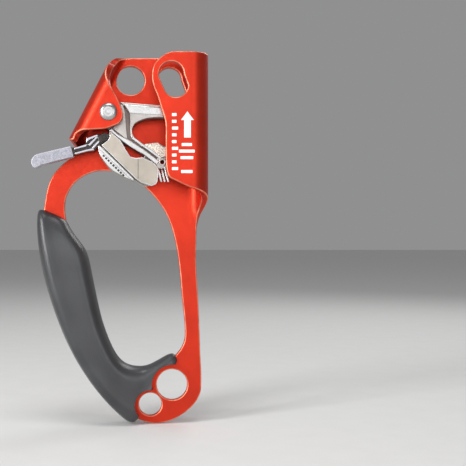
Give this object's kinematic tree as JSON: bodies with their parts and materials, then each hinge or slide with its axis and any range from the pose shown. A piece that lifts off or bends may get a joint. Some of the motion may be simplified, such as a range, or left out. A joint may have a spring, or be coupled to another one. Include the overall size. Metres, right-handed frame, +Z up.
{
  "type": "rope ascender",
  "caption": "Hand-held rope ascender: folded plate with a rope channel, toothed cam on a pivot, thumb-operated safety catch and moulded hand grip.",
  "frame": {"origin": "on the axis of the rope in its channel, at the height where the cam bites", "axes": "+Z up along the rope, +X to the right seen from the front, -Y to the front, where the cam and catch are seen"},
  "size_m": [0.0909, 0.0331, 0.1918],
  "materials": {
    "anodised_red": "satin red-orange anodised",
    "grip_rubber": "smooth matt moulded rubber",
    "cast_steel": "investment-cast, bright plated",
    "bright_steel": "satin stainless",
    "polished_steel": "polished",
    "spring_steel": "drawn wire",
    "bush_bronze": "sintered bronze",
    "tab_grey": "matt light grey"
  },
  "bodies": {
    "frame": {"frame_plate": "anodised_red", "grip_overmould": "grip_rubber", "cam_axle_rivet": "bright_steel", "rear_rivet_washer": "bright_steel", "cam_rear_washer": "bright_steel", "cam_bush": "bush_bronze"},
    "cam": {"cam": "cast_steel", "cam_spring": "spring_steel", "catch_pin": "bright_steel"},
    "catch": {"catch_body": "bright_steel", "catch_lever": "polished_steel", "thumb_tab": "tab_grey", "lever_rivet": "polished_steel", "tab_pin": "bright_steel", "catch_spring": "spring_steel"}
  },
  "joints": [
    {"name": "cam_pivot", "type": "hinge", "parent": "frame", "child": "cam", "pos_m": [-0.041, 0, 0.026], "axis": [0, 1, 0], "range_deg": [0, 50], "stiffness_Nm_per_rad": 0.12, "springref_deg": -34.38, "deforming": ["cam_spring"]},
    {"name": "catch_pivot", "type": "hinge", "parent": "cam", "child": "catch", "pos_m": [-0.0215, 0, -0.0035], "axis": [0, 1, 0], "range_deg": [-65, 0], "stiffness_Nm_per_rad": 0.05, "springref_deg": 34.38, "deforming": ["catch_spring"]}
  ],
  "couplings": [
    {"joint": "catch_pivot", "follows": "cam_pivot", "ratio": -1.3}
  ]
}
